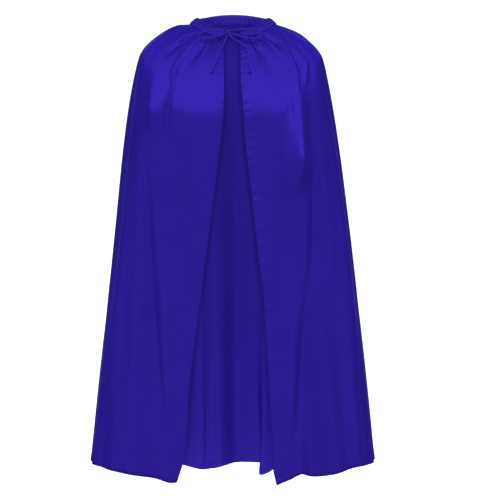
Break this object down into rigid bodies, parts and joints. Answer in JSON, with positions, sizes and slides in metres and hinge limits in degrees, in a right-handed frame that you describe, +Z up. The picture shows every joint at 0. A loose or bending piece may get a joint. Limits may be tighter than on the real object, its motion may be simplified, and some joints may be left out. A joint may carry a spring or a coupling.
{
  "type": "drawstring costume cape",
  "caption": "Long satin costume cape gathered on a neck drawstring tied in a bow, with open front edges and a flared hem.",
  "frame": {"origin": "middle of the neck opening, at the mean height of the drawstring casing", "axes": "+Z up; the front opening and the bow face -Y; +X is the wearer's left"},
  "size_m": [0.666, 0.411, 1.1184],
  "materials": {
    "cape_satin": "blue-violet polyester satin",
    "cord_satin": "blue-violet braided satin cord"
  },
  "bodies": {
    "neck_and_back": {"neck_casing": "cape_satin", "back_panel": "cape_satin", "back_hem": "cape_satin", "left_side_seam": "cape_satin", "right_side_seam": "cape_satin", "left_shoulder_panel": "cape_satin", "right_shoulder_panel": "cape_satin", "left_upper_edge_hem": "cape_satin", "right_upper_edge_hem": "cape_satin", "drawstring": "cord_satin", "bow_knot": "cord_satin"},
    "left_front": {"left_front_panel": "cape_satin", "left_front_hem": "cape_satin", "left_lower_edge_hem": "cape_satin"},
    "right_front": {"right_front_panel": "cape_satin", "right_front_hem": "cape_satin", "right_lower_edge_hem": "cape_satin"},
    "left_bow_loop": {"left_loop": "cord_satin"},
    "right_bow_loop": {"right_loop": "cord_satin"},
    "left_cord_tail": {"left_tail": "cord_satin", "left_tail_knot": "cord_satin"},
    "right_cord_tail": {"right_tail": "cord_satin", "right_tail_knot": "cord_satin"}
  },
  "joints": [
    {"name": "left_front_open", "type": "hinge", "parent": "neck_and_back", "child": "left_front", "pos_m": [0.2365, 0, -0.17], "axis": [-0.1127, 0, 0.9936], "range_deg": [0, 60]},
    {"name": "right_front_open", "type": "hinge", "parent": "neck_and_back", "child": "right_front", "pos_m": [-0.2365, 0, -0.17], "axis": [-0.1127, 0, -0.9936], "range_deg": [0, 60]},
    {"name": "left_loop_lift", "type": "hinge", "parent": "neck_and_back", "child": "left_bow_loop", "pos_m": [-0.011, -0.0945, -0.025], "axis": [0, -0.809, -0.5878], "range_deg": [0, 45]},
    {"name": "right_loop_lift", "type": "hinge", "parent": "neck_and_back", "child": "right_bow_loop", "pos_m": [-0.011, -0.0945, -0.025], "axis": [0, 0.809, 0.5878], "range_deg": [0, 45]},
    {"name": "left_tail_lift", "type": "hinge", "parent": "neck_and_back", "child": "left_cord_tail", "pos_m": [-0.011, -0.0945, -0.025], "axis": [-1, 0, 0], "range_deg": [0, 45]},
    {"name": "right_tail_lift", "type": "hinge", "parent": "neck_and_back", "child": "right_cord_tail", "pos_m": [-0.011, -0.0945, -0.025], "axis": [-1, 0, 0], "range_deg": [0, 45]}
  ]
}
